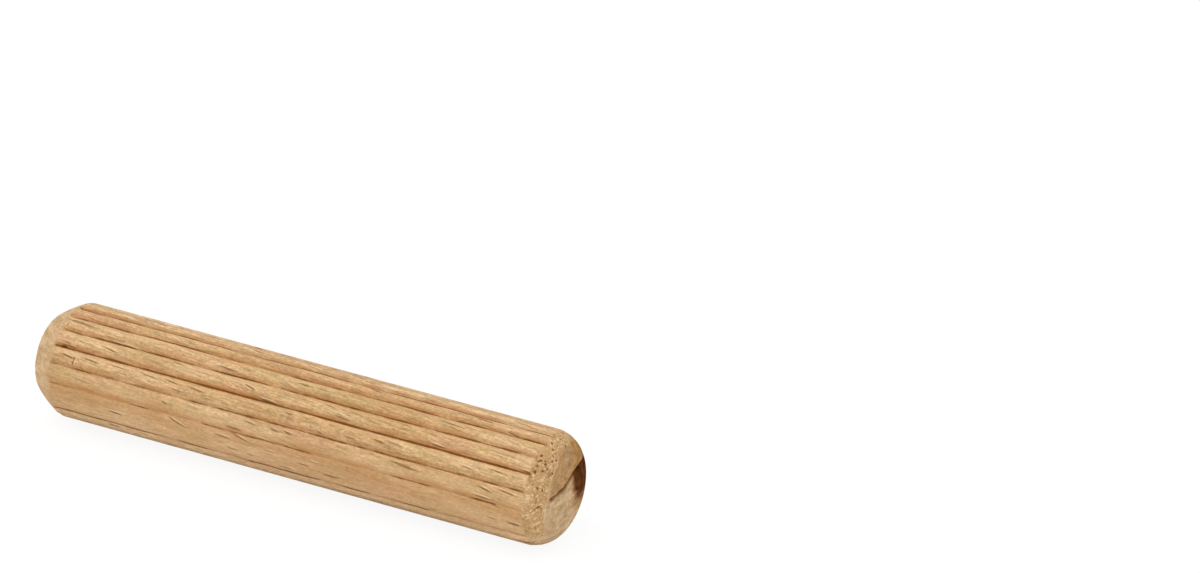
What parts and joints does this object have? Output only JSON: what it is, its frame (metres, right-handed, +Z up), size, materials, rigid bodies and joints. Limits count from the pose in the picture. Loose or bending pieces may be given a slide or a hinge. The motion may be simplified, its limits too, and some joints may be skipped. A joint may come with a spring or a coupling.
{
  "type": "dowel pin",
  "caption": "Straight fluted wooden dowel pin with chamfered ends, for joining two boards in drilled holes.",
  "frame": {"origin": "middle of the pin's length, on the surface that it lies on, straight below its axis", "axes": "+X along the pin towards the split end, +Z up, +Y away from the nearly smooth side"},
  "size_m": [0.04, 0.008, 0.008],
  "materials": {
    "beech": "bare planed beech, matt"
  },
  "bodies": {
    "root": {"dowel_pin": "beech"}
  },
  "joints": []
}
